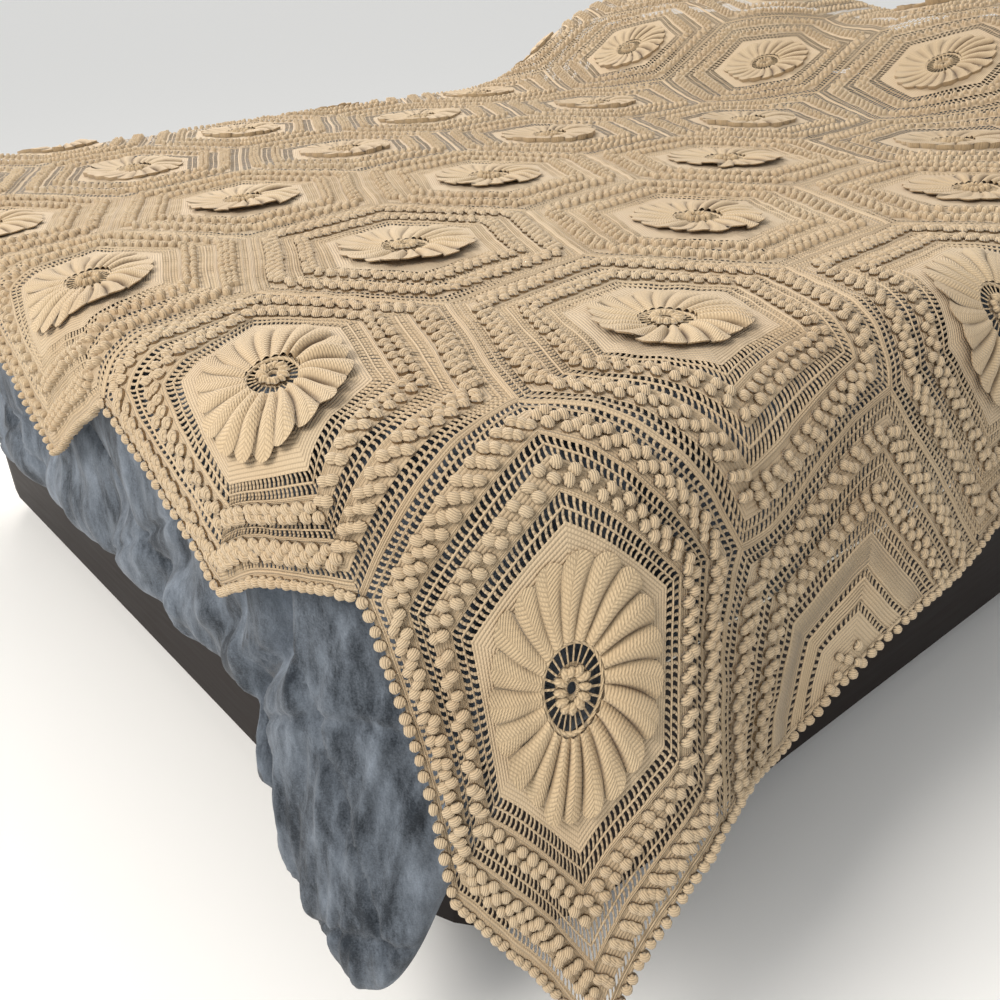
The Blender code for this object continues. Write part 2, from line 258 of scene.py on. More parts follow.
    def lay_spread(self, u: Array, v: Array) -> Array:
        """Lays flat points of the bedspread, skewed and bowed as it was laid.

        Args:
            u: Places across the bedspread.
            v: Places along it.

        Returns:
            The points on the bed.
        """
        skewed = u - self.skew * np.tanh(v / self.skew_run)
        half_width = 3.0 * ROOT3 * self.motif_side
        bowed = v + self.bow * (u / (half_width * 5 / 6)) ** 2
        return self.lay(skewed, bowed)[0]

    @staticmethod
    def frame_at(laid: Callable, u: Array, v: Array) -> tuple:
        """The point of a laid cloth at flat places, and its own directions there.

        Args:
            laid: What lays flat places on the bed.
            u: Places across.
            v: Places along.

        Returns:
            The points, and unit directions across, along and out of the cloth.
        """
        step = 0.0015
        across = laid(u + step, v) - laid(u - step, v)
        along = laid(u, v + step) - laid(u, v - step)
        normal = np.cross(across, along)
        normal /= np.maximum(np.linalg.norm(normal, axis=-1, keepdims=True), 1e-12)
        across /= np.maximum(np.linalg.norm(across, axis=-1, keepdims=True), 1e-12)
        return laid(u, v), across, np.cross(normal, across), normal

    def place(self, u: Array, v: Array, stand: Array) -> Array:
        """Lays flat points that stand proud of the cloth.

        Args:
            u: Places across the bedspread.
            v: Places along it.
            stand: How far each is from its place: across, along and above.

        Returns:
            The points on the bed.
        """
        here, across, along, normal = self.frame_at(self.lay_spread, u, v)
        return here + across * stand[:, :1] + along * stand[:, 1:2] + normal * stand[:, 2:]


# --- flat work ----------------------------------------------------------------


class FlatWork:
    """Crochet worked flat: grids of points with the marks that a finish reads.

    A point is x, y and a height.  Its mark is where it is among the stitches,
    in millimetres, and its painted shade, from 0 to 1, by how deep it lies in crevices.
    Its anchor is the place it hangs on: a bobble keeps its shape however the cloth stretches.
    """

    def __init__(self) -> None:
        """Starts with nothing worked."""
        self.points: list = []
        self.anchors: list = []
        self.marks: list = []
        self.faces: list = []
        self.count = 0

    def add(self, points: Array, marks: Array, closed: bool = False, cap: bool = False,
            anchors: Array | None = None) -> None:
        """Adds grids of one size.

        Args:
            points: Array of grids, rows, columns and 3 coordinates.
            marks: The same with the 3 values of each mark.
            closed: Whether a row's last column meets its first.
            cap: Whether the last row is filled in.
            anchors: The same with x and y of each anchor, the points unless given.
        """
        grids, rows, columns = points.shape[:3]
        index = np.arange(rows * columns).reshape(rows, columns)
        if closed:
            index = np.concatenate([index, index[:, :1]], axis=1)
        quads = np.stack([index[:-1, :-1], index[:-1, 1:], index[1:, 1:], index[1:, :-1]], -1)
        starts = self.count + np.arange(grids)[:, None, None] * rows * columns
        self.faces.append((quads.reshape(1, -1, 4) + starts).reshape(-1, 4))
        if cap:
            rim = index[-1, :columns].reshape(1, 1, -1)
            self.faces.append((rim + starts).reshape(-1, columns))
        self.points.append(points.reshape(-1, 3))
        self.marks.append(marks.reshape(-1, 3))
        self.anchors.append((points[..., :2] if anchors is None else anchors).reshape(-1, 2))
        self.count += grids * rows * columns

    def join(self, other: "FlatWork", points: Array) -> None:
        """Adds other work with its points moved.

        Args:
            other: The work to add.
            points: Its points, where they go.
        """
        self.faces += [face + self.count for face in other.faces]
        self.points.append(points)
        self.marks.append(np.concatenate(other.marks))
        self.count += other.count

    def face_up(self) -> None:
        """Turns the faces of flat work that look down."""
        points = np.concatenate(self.points)
        for k, face in enumerate(self.faces):
            corner = points[face[:, :3]]
            area = np.cross(corner[:, 1] - corner[:, 0], corner[:, 2] - corner[:, 0])
            self.faces[k] = np.where(area[:, 2:3] < 0, face[:, ::-1], face)

    def to_object(self, name: str) -> bpy.types.Object:
        """Makes the mesh object.

        Args:
            name: The piece's name.

        Returns:
            The new object, in the scene.
        """
        mesh = bpy.data.meshes.new(name)
        points = np.concatenate(self.points)
        mesh.vertices.add(len(points))
        mesh.vertices.foreach_set("co", points.astype(np.float32).ravel())
        sizes = np.concatenate([np.full(len(f), f.shape[1]) for f in self.faces])
        loops = np.concatenate([f.ravel() for f in self.faces])
        mesh.loops.add(len(loops))
        mesh.loops.foreach_set("vertex_index", loops.astype(np.int32))
        mesh.polygons.add(len(sizes))
        starts = np.concatenate([[0], np.cumsum(sizes)[:-1]])
        mesh.polygons.foreach_set("loop_start", starts.astype(np.int32))
        marks = mesh.attributes.new("stitch", "FLOAT_VECTOR", "POINT")
        marks.data.foreach_set("vector", np.concatenate(self.marks).astype(np.float32).ravel())
        mesh.update(calc_edges=True)
        mesh.shade_smooth()
        made = bpy.data.objects.new(name, mesh)
        bpy.context.scene.collection.objects.link(made)
        LOG.info("%s: %d points, %d triangles", name, len(points), int((sizes - 2).sum()))
        return made


def turned(n: Array, t: Array, angle: float) -> tuple:
    """Turns places in one sector of a motif into the motif's own x and y.

    Args:
        n: Distance out from the motif's centre.
        t: Distance along the side.
        angle: Direction in which the side faces.

    Returns:
        x and y.
    """
    c, s = math.cos(angle), math.sin(angle)
    return n * c - t * s, n * s + t * c


@dataclass(frozen=True)
class RoundMM:
    """One round or band of a motif, by its distance from the centre, in mm."""

    kind: str
    start: float
    end: float


@dataclass
class Motif:
    """One hexagonal motif, worked flat."""

    fineness: Fineness
    sectors: tuple
    hem_sectors: tuple = ()
    half: bool = False
    seed: int = 0
    pleat_towards: float = 0.6
    lift_towards: float = -0.8
    flower_mm: float = 84.0
    flower_inner_mm: float = 30.0
    petals: int = 20
    pleat_mm: float = 8.6           # how high a petal stands where the pleats are deepest
    lift_mm: float = 4.6            # how far the petals' ends curl up on the lifted side
    scallop: float = 0.075
    swirl: float = -0.15
    centre_bobbles: int = 12
    spokes: int = 24
    edge_bobble_mm: tuple = (9.6, 9.0, 6.4)
    edge_pitch_mm: float = 10.8
    ground: FlatWork = field(default_factory=FlatWork)
    bobbles: FlatWork = field(default_factory=FlatWork)
    flower: FlatWork = field(default_factory=FlatWork)

    slot_pitch_mm: float = 5.6
    post_mm: float = 3.0
    chain_mm: float = 1.5
    bobble_pitch_mm: float = 14.8
    rounds: tuple = (
        RoundMM("mesh", 92.0, 101.0), RoundMM("mesh", 101.0, 110.0),
        RoundMM("solid", 110.0, 112.6), RoundMM("bobbles", 112.5, 130.1),
        RoundMM("mesh", 130.0, 138.6), RoundMM("mesh", 138.6, 147.0),
        RoundMM("solid", 147.0, 149.7), RoundMM("bobbles", 149.5, 170.1),
        RoundMM("mesh", 170.0, 177.4))
    joining: tuple = (RoundMM("mesh", 177.4, 184.6), RoundMM("seam", 184.6, 186.3))
    hem: tuple = (RoundMM("solid", 177.4, 181.2), RoundMM("hem", 181.0, 185.0))

    def __post_init__(self) -> None:
        """Works the whole motif."""
        self.dice = np.random.default_rng(1000 + self.seed)
        if self.fineness is Fineness.PLAIN:
            self.slot_pitch_mm = 7.0   # coarser, where single slots no longer show
        workers = {"mesh": self.work_mesh, "solid": self.work_solid, "seam": self.work_seam,
                   "hem": self.work_hem, "bobbles": self.work_bobbles}
        for angle in self.sectors:
            facing = math.radians(angle)
            if self.half:
                self.work_half_middle(facing)
            else:
                self.work_middle(facing)
            outer = self.hem if angle in self.hem_sectors else self.joining
            for band in self.rounds + outer:
                workers[band.kind](band, facing)
        if not self.half:
            self.work_centre()
            self.work_flower()
        for work in (self.ground, self.bobbles, self.flower):
            if work.count:
                work.face_up()

    def sheet(self, n: Array, t: Array, height: Array, shade: Array, facing: float,
              work: FlatWork | None = None) -> None:
        """Adds grids given in one sector's own directions, in mm.

        Args:
            n: Distances out from the centre.
            t: Distances along the side.
            height: Heights above the cloth.
            shade: The painted shade of each point, by how deep it lies in crevices.
            facing: Direction in which the side faces.
            work: Where it is added, the ground unless given.
        """
        x, y = turned(n, t, facing)
        points = np.stack([x, y, np.broadcast_to(height, x.shape)], -1) * MM
        marks = np.stack([n, t, np.broadcast_to(shade, x.shape)], -1)
        (work or self.ground).add(points, marks)

    def ribbon(self, profile: tuple, facing: float, step_mm: float) -> None:
        """Adds a strip along a whole side with a given cross-section.

        Args:
            profile: Rows of distance, height and painted shade, in mm.
            facing: Direction in which the side faces.
            step_mm: Length of its faces.
        """
        middle = profile[len(profile) // 2][0]
        columns = max(4, round(2.0 * middle * TAN30 / step_mm))
        s = np.linspace(-1.0, 1.0, columns + 1)[None, None, :]
        table = np.array(profile)[None, :, :, None]
        n = table[:, :, 0] + 0.0 * s
        self.sheet(n, n * TAN30 * s, table[:, :, 1] + 0.0 * s, table[:, :, 2] + 0.0 * s, facing)

    def work_middle(self, facing: float) -> None:
        """The solid hexagon under the flower, from the spokes' ring outwards.

        Args:
            facing: Direction in which the side faces.
        """
        rows, columns = ((14, 16), (8, 10), (5, 6))[self.fineness.value]
        w = np.linspace(0.0, 1.0, rows)[None, :, None]
        s = np.linspace(-1.0, 1.0, columns)[None, None, :]
        ring_mm, edge_mm = 28.5, self.rounds[0].start + 0.3
        bearing = s * math.pi / 6
        n = ring_mm * np.cos(bearing) * (1.0 - w) + edge_mm * w
        t = ring_mm * np.sin(bearing) * (1.0 - w) + edge_mm * TAN30 * s * w
        height = 0.8 * np.sin(math.pi * w) + 0.0 * s
        # a little painted shade over the whole hexagon
        self.sheet(n, t, height, 0.1 + 0.0 * n, facing)

    def work_half_middle(self, facing: float) -> None:
        """The inner rounds of a half motif, which has no flower.

        Args:
            facing: Direction in which the side faces.
        """
        # rows of distance, height and painted shade, in mm
        self.ribbon(((0.5, 0.0, 0.3), (8.0, 0.8, 0.2), (14.0, 0.4, 0.3), (20.0, 0.6, 0.3),
                     (27.0, 0.4, 0.3), (34.0, 0.6, 0.2), (40.0, 0.2, 0.2)), facing, 8.0)
        self.bobble_rows((12.0, 21.0, 30.0), 10.6, facing, (9.4, 8.6, 6.0))
        self.work_mesh(RoundMM("mesh", 40.0, 47.0), facing)
        self.work_ribs(47.0, 62.0, facing)
        self.work_mesh(RoundMM("mesh", 62.0, 69.0), facing)
        self.work_ribs(69.0, 92.3, facing)

    def work_ribs(self, start_mm: float, end_mm: float, facing: float) -> None:
        """Solid rounds that stand up as concentric ribs.

        Args:
            start_mm: Where the first rib starts.
            end_mm: Where the last ends.
            facing: Direction in which the side faces.
        """
        steps = 2 * round((end_mm - start_mm) / 3.2) + 1
        # the troughs between the ribs take painted shade
        profile = tuple((start_mm + (end_mm - start_mm) * k / (steps - 1), 1.5 * (k % 2),
                         0.35 * ((k + 1) % 2)) for k in range(steps))
        self.ribbon(profile, facing, 7.0)

    def work_solid(self, band: RoundMM, facing: float) -> None:
        """A narrow solid band: two fine ridges.

        Args:
            band: Where it lies.
            facing: Direction in which the side faces.
        """
        a, b = band.start, band.end
        # profiles of distance, height and painted shade, in mm
        if self.fineness is Fineness.PLAIN:
            profile = ((a, 0.0, 0.3), ((a + b) / 2, 1.0, 0.0), (b, 0.0, 0.3))
        else:
            profile = ((a, -0.2, 0.4), (a + (b - a) * 0.25, 1.0, 0.0), ((a + b) / 2, 0.2, 0.4),
                       (b - (b - a) * 0.25, 1.0, 0.0), (b, -0.2, 0.4))
        self.ribbon(profile, facing, 9.0)

    def work_seam(self, band: RoundMM, facing: float) -> None:
        """Half of the ridge where two motifs are joined.

        Args:
            band: Where it lies.
            facing: Direction in which the side faces.
        """
        middle = band.start + (band.end - band.start) * 0.45
        # distance, height and painted shade, in mm
        self.ribbon(((band.start, 0.0, 0.3), (middle, 1.3, 0.0), (band.end, 0.4, 0.35)), facing, 9.0)

    def work_hem(self, band: RoundMM, facing: float) -> None:
        """The outer edge: a corded ridge and a row of round bobbles.

        Args:
            band: Where it lies.
            facing: Direction in which the side faces.
        """
        a, b = band.start, band.end
        # distance, height and painted shade, in mm
        self.ribbon(((a, 0.0, 0.3), ((a + b) / 2, 1.6, 0.1), (b, -1.0, 0.5)), facing, 8.0)
        self.bobble_rows((b + 0.5,), self.edge_pitch_mm, facing, self.edge_bobble_mm, edge=True)

    def work_mesh(self, band: RoundMM, facing: float) -> None:
        """One row of filet mesh: posts with slots between, and a chain outside.

        Args:
            band: Where the row lies.
            facing: Direction in which the side faces.
        """
        a, b = band.start, band.end - self.chain_mm
        cells = max(3, round((a + b) * TAN30 / self.slot_pitch_mm))
        s = (-1.0 + 2.0 * np.arange(cells) / cells)[:, None, None]
        level, half = self.fineness, self.post_mm / 2
        along = np.linspace(0.0, 1.0, 3 if level is Fineness.FINE else 2)[None, :, None]
        if level is Fineness.PLAIN:
            side, rise = np.array([-1.0, 1.0]), np.array([0.0, 0.0])
        else:
            side, rise = np.array([-1.0, 0.0, 1.0]), np.array([-0.9, 0.6, -0.9])
        side, rise = side[None, None, :], rise[None, None, :]
        waist = 1.0 - 0.22 * np.sin(math.pi * along)
        n = a - 0.6 + (b - a + 1.2) * along + 0.0 * s + 0.0 * side
        bow = 0.9 * np.sin(math.pi * along) + self.dice.normal(0.0, 0.25, s.shape)
        t = n * TAN30 * s + side * half * waist + bow
        # painted shade on the sides of the posts
        self.sheet(n, t, rise + 0.0 * n, 0.45 * np.abs(side) + 0.0 * n, facing)
        edge = band.end + 0.1
        # the chain's profile: distance, height and painted shade
        if level is Fineness.PLAIN:
            profile = ((b, 0.2, 0.2), (edge, 0.2, 0.2))
        else:
            profile = ((b - 0.2, -0.4, 0.3), ((b + edge) / 2, 0.9, 0.0), (edge, -0.4, 0.3))
        self.ribbon(profile, facing, self.slot_pitch_mm)

    def work_bobbles(self, band: RoundMM, facing: float) -> None:
        """A band of bobbles in slanting clusters of two or three.

        Args:
            band: Where it lies.
            facing: Direction in which the side faces.
        """
        a, b = band.start, band.end
        middle = (a + b) / 2
        # the ground between the bobbles takes painted shade
        self.ribbon(((a, 0.0, 0.2), (a + 3.0, 0.3, 0.3), (middle, 0.3, 0.35),
                     (b - 3.0, 0.3, 0.3), (b, 0.0, 0.2)), facing, 10.0)
        rows, pitch = (2, self.bobble_pitch_mm - 1.2) if b - a < 19.0 else (3, self.bobble_pitch_mm)
        margin = 4.6
        places = tuple(np.linspace(a + margin, b - margin, rows))
        self.bobble_rows(places, pitch, facing, (10.8, 9.0, 6.6))

    def bobble_rows(self, places: tuple, pitch_mm: float, facing: float, size_mm: tuple,
                    edge: bool = False) -> None:
        """Rows of bobbles, each row moved on by nearly half a step.

        Args:
            places: Distance of each row from the centre.
            pitch_mm: Step between the bobbles of one row.
            facing: Direction in which the side faces.
            size_mm: Length, width and height of a bobble.
            edge: Whether they sit round and straight on the outer edge.
        """
        n_all, t_all = [], []
        for row, n in enumerate(places):
            count = max(1, round(2.0 * places[0] * TAN30 / pitch_mm))
            s = -1.0 + 2.0 * (np.arange(count) + 0.3 + 0.45 * row) / count
            s = s[s < 0.99]
            n_all.append(np.full(len(s), float(n)))
            t_all.append(n * TAN30 * s)
        n, t = np.concatenate(n_all), np.concatenate(t_all)
        slant = math.radians(90.0 if edge else 40.0)
        self.add_bobbles(n, t, slant, size_mm, facing)

    def add_bobbles(self, n: Array, t: Array, slant: float | Array, size_mm: tuple,
                    facing: float, work: FlatWork | None = None) -> None:
        """Adds bobbles at given places of one sector.

        Args:
            n: Distances out from the centre.
            t: Distances along the side.
            slant: Turn of the long axis from outwards towards the side.
            size_mm: Length, width and height.
            facing: Direction in which the side faces.
            work: Where they are added, the bobbles unless given.
        """
        around = (9, 6, 5)[self.fineness.value]
        radius = ((0.86, 1.0, 0.80, 0.34), (0.9, 0.84, 0.32), (0.95, 0.55))[self.fineness.value]
        rise = ((-0.25, 0.38, 0.80, 1.0), (-0.2, 0.62, 1.0), (-0.1, 0.9))[self.fineness.value]
        # painted shade, darkest at each bobble's base
        depth = ((0.7, 0.2, 0.0, 0.0), (0.55, 0.05, 0.0), (0.35, 0.0))[self.fineness.value]
        count = len(n)
        size = self.dice.normal(1.0, 0.07, (count, 3)).clip(0.85, 1.15) * np.array(size_mm) / 2
        slant = slant + self.dice.normal(0.0, 0.13, count)
        n = n + self.dice.normal(0.0, 0.45, count)
        t = t + self.dice.normal(0.0, 0.6, count)
        turn = np.linspace(0.0, 2.0 * math.pi, around, endpoint=False)[None, None, :]
        ring = np.array(radius)[None, :, None]
        long = size[:, 0, None, None] * ring * np.cos(turn)
        wide = size[:, 1, None, None] * ring * np.sin(turn)
        c, s = np.cos(slant)[:, None, None], np.sin(slant)[:, None, None]
        n_grid = n[:, None, None] + long * c - wide * s
        t_grid = t[:, None, None] + long * s + wide * c
        height = 2.0 * size[:, 2, None, None] * np.array(rise)[None, :, None] + 0.0 * turn
        x, y = turned(n_grid, t_grid, facing)
        points = np.stack([x, y, height], -1) * MM
        shade = np.array(depth)[None, :, None] + 0.0 * n_grid
        marks = np.stack([wide, long, shade], -1)
        centre = np.stack(turned(n, t, facing), -1)[:, None, None, :] * MM
        anchors = np.broadcast_to(centre, x.shape + (2,))
        (work or self.bobbles).add(points, marks, closed=True, cap=True, anchors=anchors)

    def work_centre(self) -> None:
        """The eye, twelve bobbles round it, the spokes and the ring outside."""
        work, level = self.flower, self.fineness.value
        around = (48, 24, 18)[level]
        turn = np.linspace(0.0, 2.0 * math.pi, around, endpoint=False)[None, None, :]
        # rings of distance, height and painted shade, in mm
        rings = (((4.0, -0.5, 0.9), (4.6, 1.6, 0.2), (6.2, 2.0, 0.0), (8.0, 0.8, 0.4),
                  (16.5, 0.2, 0.8)),
                 ((27.0, -0.4, 0.7), (27.8, 1.2, 0.0), (29.6, 1.4, 0.0), (31.0, 0.4, 0.5)))
        for profile in rings:
            table = np.array(profile)[None, :, :, None]
            radius = table[:, :, 0] + 0.0 * turn
            points = np.stack([radius * np.cos(turn), radius * np.sin(turn),
                               table[:, :, 1] + 0.0 * turn], -1) * MM
            marks = np.stack([radius, turn * 20.0 + 0.0 * radius, table[:, :, 2] + 0.0 * turn], -1)
            work.add(points, marks, closed=True)
        spin = self.dice.uniform(0.0, 0.5)
        bearing = spin + np.arange(self.centre_bobbles) * 2.0 * math.pi / self.centre_bobbles
        self.add_bobbles(12.2 * np.cos(bearing), 12.2 * np.sin(bearing), bearing,
                         (10.6, 6.6, 6.0), 0.0, work)
        bearing = spin + (np.arange(self.spokes) + 0.5) * 2.0 * math.pi / self.spokes
        bearing = bearing[:, None, None]
        reach = np.linspace(15.5, 27.6, 3)[None, :, None]
        side = np.array([-1.0, 0.0, 1.0])[None, None, :]
        radius = reach + 0.0 * bearing + 0.0 * side
        wide = side * 0.85
        x = radius * np.cos(bearing) - wide * np.sin(bearing)
        y = radius * np.sin(bearing) + wide * np.cos(bearing)
        height = 0.9 * (1.0 - np.abs(side)) + 0.0 * radius
        points = np.stack([x, y, height], -1) * MM
        # painted shade on the spokes' sides
        marks = np.stack([wide + 0.0 * radius, radius, 0.5 * np.abs(side) + 0.0 * radius], -1)
        work.add(points, marks)

    def work_flower(self) -> None:
        """The pleated flower: twenty petals, each lapping over the next."""
        petals = self.petals
        rows = (13, 8, 5)[self.fineness.value]
        shares = (
            (0.0, 0.12, 0.26, 0.40, 0.50, 0.60, 0.72, 0.82, 0.90, 0.955),
            (0.0, 0.25, 0.5, 0.75, 0.90, 0.955),
            (0.0, 0.45, 0.88, 0.955))[self.fineness.value]
        number = np.arange(petals)[:, None] + 0.0 * np.array(shares)[None, :]
        share = np.array(shares)[None, :] + 0.0 * number
        number, share = number.ravel()[None, None, :], share.ravel()[None, None, :]
        w = np.linspace(0.0, 1.0, rows)[None, :, None]
        jitter = self.dice.normal(0.0, 1.0, (3, petals))
        pick = number.astype(int)
        bearing = -(number + share) * 2.0 * math.pi / petals
        pleat = 0.5 + 0.5 * np.cos(bearing - self.pleat_towards)
        pleat = (0.34 + 0.66 * pleat ** 1.3) * (1.0 + 0.18 * jitter[0][pick])
        lift = 0.5 + 0.5 * np.cos(bearing - self.lift_towards)
        outer = self.flower_mm * (1.0 + 0.02 * jitter[1][pick])
        scallop = 1.0 - self.scallop * np.abs(2.0 * share - 1.0) ** 2.6
        inner_mm = self.flower_inner_mm
        radius = inner_mm + (outer * scallop - inner_mm) * w
        swirl = self.swirl * w ** 1.4
        over = 0.045 * pleat * share ** 3 * np.sin(math.pi * np.clip(w * 0.85 + 0.1, 0.0, 1.0))
        angle = bearing + swirl - over
        rise = np.sin(math.pi * np.clip(share / 0.955, 0.0, 1.0) ** 1.35) ** 0.75
        body = np.sin(math.pi * np.clip(0.14 + 0.76 * w, 0.0, 1.0)) ** 0.7
        height = (1.0 + self.pleat_mm * pleat * rise * body
                  + (0.4 + self.lift_mm * lift) * w ** 2.4 * (1.0 + 0.30 * jitter[2][pick])
                  + 0.9 * w * np.sin(2.0 * math.pi * share + 1.0))
        x, y = radius * np.cos(angle), radius * np.sin(angle)
        half_width = radius * math.pi / petals
        across = (share - 0.5) * 2.0 * half_width
        # painted shade in the creases between the petals, darkest where the pleats stand highest
        crease = np.exp(-(np.minimum(share, 0.955 - share) / 0.10) ** 2)
        shade = 1.9 * crease * np.clip(pleat, 0.4, 1.0) * np.clip(w * 6.0, 0.3, 1.0) * body
        marks = np.stack([radius, across, shade + 0.0 * radius], -1)
        points = np.stack([x, y, height], -1) * MM
        self.flower.add(points, marks, closed=True)
        rim = np.stack([points[:, -1], points[:, -1]], 1)
        rim[:, 1, :, :2] *= 0.985
        low = 0.8 if self.fineness is Fineness.PLAIN else 9.0
        rim[:, 1, :, 2] = np.minimum(rim[:, 1, :, 2] - 1.7 * MM, low * MM)
        # painted shade on the rim that turns down under the petals' ends
        rim_marks = np.stack([marks[:, -1], marks[:, -1]], 1)
        rim_marks[:, 1, :, 2] = 0.6
        self.flower.add(rim, rim_marks, closed=True)


# --- finishes -----------------------------------------------------------------


def linear(hex_colour: str) -> tuple:
    """Turns an sRGB hex colour to linear values.

    Args:
        hex_colour: Such as "D8BE96".

    Returns:
        Red, green, blue and 1.
    """
    parts = [int(hex_colour[k:k + 2], 16) / 255.0 for k in (0, 2, 4)]
    turned_linear = [c / 12.92 if c <= 0.04045 else ((c + 0.055) / 1.055) ** 2.4 for c in parts]
    return (*turned_linear, 1.0)


def add(tree: bpy.types.NodeTree, kind: str, links: dict | None = None,
        **settings: object) -> bpy.types.Node:
    """Adds a node with its settings and links.

    Args:
        tree: The material's nodes.
        kind: The node's type.
        links: For each input, a socket to link or a value to set.
        settings: The node's own properties.

    Returns:
        The node.
    """
    made = tree.nodes.new(kind)
    for name, value in settings.items():
        setattr(made, name, value)
    for key, value in (links or {}).items():
        if isinstance(value, bpy.types.NodeSocket):
            tree.links.new(value, made.inputs[key])
        else:
            made.inputs[key].default_value = value
    return made


def compute(tree: bpy.types.NodeTree, operation: str, *values: object,
            clamp: bool = False) -> bpy.types.NodeSocket:
    """Adds one sum.

    Args:
        tree: The material's nodes.
        operation: What is worked out.
        values: Sockets to link or values to set.
        clamp: Whether the result is kept from 0 to 1.

    Returns:
        The result's socket.
    """
    made = add(tree, "ShaderNodeMath", dict(enumerate(values)), operation=operation,
               use_clamp=clamp)
    return made.outputs[0]


def new_material(name: str) -> tuple:
    """Starts a material with only its shader.

    Args:
        name: The material's name.

    Returns:
        The material, its nodes and its Principled shader.
    """
    made = bpy.data.materials.new(name)
    made.use_nodes = True
    return made, made.node_tree, made.node_tree.nodes["Principled BSDF"]


def surface(tree: bpy.types.NodeTree, shader: bpy.types.Node, colour: bpy.types.Node,
            bump: bpy.types.Node) -> None:
    """Links a mixed colour and a bump to the shader.

    Args:
        tree: The material's nodes.
        shader: Its Principled shader.
        colour: The mix that gives the colour.
        bump: The bump that gives the relief.
    """
    tree.links.new(colour.outputs[2], shader.inputs["Base Color"])
    tree.links.new(bump.outputs[0], shader.inputs["Normal"])


class Stitch(Enum):
    """Which way the cotton is worked, as its surface shows it."""

    ROWS = "rows"
    HERRINGBONE = "herringbone"
    WOUND = "wound"


@dataclass(frozen=True)
class CrochetCotton:
    """Mercerised crochet cotton: a matt, warm, slightly uneven yarn."""

    stitch: Stitch
    light: str = "CEBC9E"
    dark: str = "BDA381"
    # painted shade: the colour that grooves and crevices are darkened towards
    crevice_shade: str = "4A3520"
    row_mm: float = 3.1           # one round of single crochet
    stitch_mm: float = 2.9        # one stitch along it
    strand_mm: float = 1.7        # a loop of yarn; the plies of 0.5 mm are too fine to show
    relief_mm: float = 0.9
    roughness: float = 0.82
    sheen: float = 0.15
    groove_shade: float = 0.42          # how much painted shade darkens the grooves between loops

    def relief(self, tree: bpy.types.NodeTree, n: bpy.types.NodeSocket,
               t: bpy.types.NodeSocket) -> bpy.types.NodeSocket:
        """Adds the height pattern of the stitches.

        Args:
            tree: The material's nodes.
            n: Distance across the rows, in mm.
            t: Distance along them, in mm.

        Returns:
            The height, from 0 to about 1.
        """
        if self.stitch is Stitch.WOUND:
            bend = compute(tree, "SINE", compute(tree, "MULTIPLY", t, 0.55))
            lean = compute(tree, "MULTIPLY_ADD", bend, 0.35, n)
            phase = compute(tree, "MULTIPLY", lean, math.pi / self.strand_mm)
            return compute(tree, "ABSOLUTE", compute(tree, "SINE", phase))
        if self.stitch is Stitch.HERRINGBONE:
            side = compute(tree, "ABSOLUTE", t)
            slope = compute(tree, "MULTIPLY_ADD", side, -0.62, n)
            phase = compute(tree, "MULTIPLY", slope, math.pi / self.row_mm)
            ribs = compute(tree, "ABSOLUTE", compute(tree, "SINE", phase))
            valley = compute(tree, "DIVIDE", side, 1.4, clamp=True)
            keep = compute(tree, "MULTIPLY_ADD", valley, 0.7, 0.3)
            loop = compute(tree, "MULTIPLY", t, 2.0 * math.pi / self.stitch_mm)
            loop = compute(tree, "SINE", compute(tree, "ADD", loop, phase))
            loop = compute(tree, "MULTIPLY_ADD", loop, 0.22, 0.78)
            return compute(tree, "MULTIPLY", compute(tree, "MULTIPLY", ribs, loop), keep)
        row = compute(tree, "MULTIPLY", n, 1.0 / self.row_mm)
        along = compute(tree, "MULTIPLY", t, 1.0 / self.stitch_mm)
        moved = compute(tree, "MULTIPLY_ADD", compute(tree, "FLOOR", row), 0.5, along)
        rounds, loops = (compute(tree, "ABSOLUTE", compute(tree, "SINE", compute(
            tree, "MULTIPLY", place, math.pi))) for place in (row, moved))
        return compute(tree, "MULTIPLY", rounds, compute(tree, "MULTIPLY_ADD", loops, 0.45, 0.55))

    def make(self) -> bpy.types.Material:
        """Makes the material: yarn colour, painted shade in crevices and grooves, stitches and fuzz.

        Returns:
            The material.
        """
        made, tree, shader = new_material("crochet cotton, " + self.stitch.value)
        mark = add(tree, "ShaderNodeAttribute", attribute_name="stitch")
        parts = add(tree, "ShaderNodeSeparateXYZ", {0: mark.outputs["Vector"]})
        place = add(tree, "ShaderNodeTexCoord")
        height = self.relief(tree, parts.outputs[0], parts.outputs[1])

        tone = add(tree, "ShaderNodeTexNoise", {"Vector": place.outputs["Object"], "Scale": 9.0,
                                                "Detail": 3.0, "Roughness": 0.6})
        yarn = add(tree, "ShaderNodeMix", {"Factor": tone.outputs["Fac"], 6: linear(self.light),
                                           7: linear(self.dark)}, data_type="RGBA")
        # painted shade: the grooves between the loops hold less light than the yarn's crowns, and
        # the marked crevices are darkened too
        groove_shade = add(tree, "ShaderNodeMapRange", {"Value": height, "From Min": 0.0,
                                                  "From Max": 0.55, "To Min": self.groove_shade,
                                                  "To Max": 0.0})
        dark = compute(tree, "MAXIMUM", groove_shade.outputs[0],
                       compute(tree, "MULTIPLY", parts.outputs[2], 0.62))
        colour = add(tree, "ShaderNodeMix", {"Factor": dark, 6: yarn.outputs[2],
                                             7: linear(self.crevice_shade)}, data_type="RGBA")
        fuzz = add(tree, "ShaderNodeTexNoise", {"Vector": place.outputs["Object"],
                                                "Scale": 1400.0, "Detail": 2.0})
        rough = compute(tree, "MULTIPLY_ADD", fuzz.outputs["Fac"], 0.22, height)
        bump = add(tree, "ShaderNodeBump", {"Height": rough, "Strength": 0.85,
                                            "Distance": self.relief_mm * MM})
        surface(tree, shader, colour, bump)
        shader.inputs["Roughness"].default_value = self.roughness
        shader.inputs["Specular IOR Level"].default_value = 0.25
        shader.inputs["Sheen Weight"].default_value = self.sheen
        shader.inputs["Sheen Roughness"].default_value = 0.5
        return made


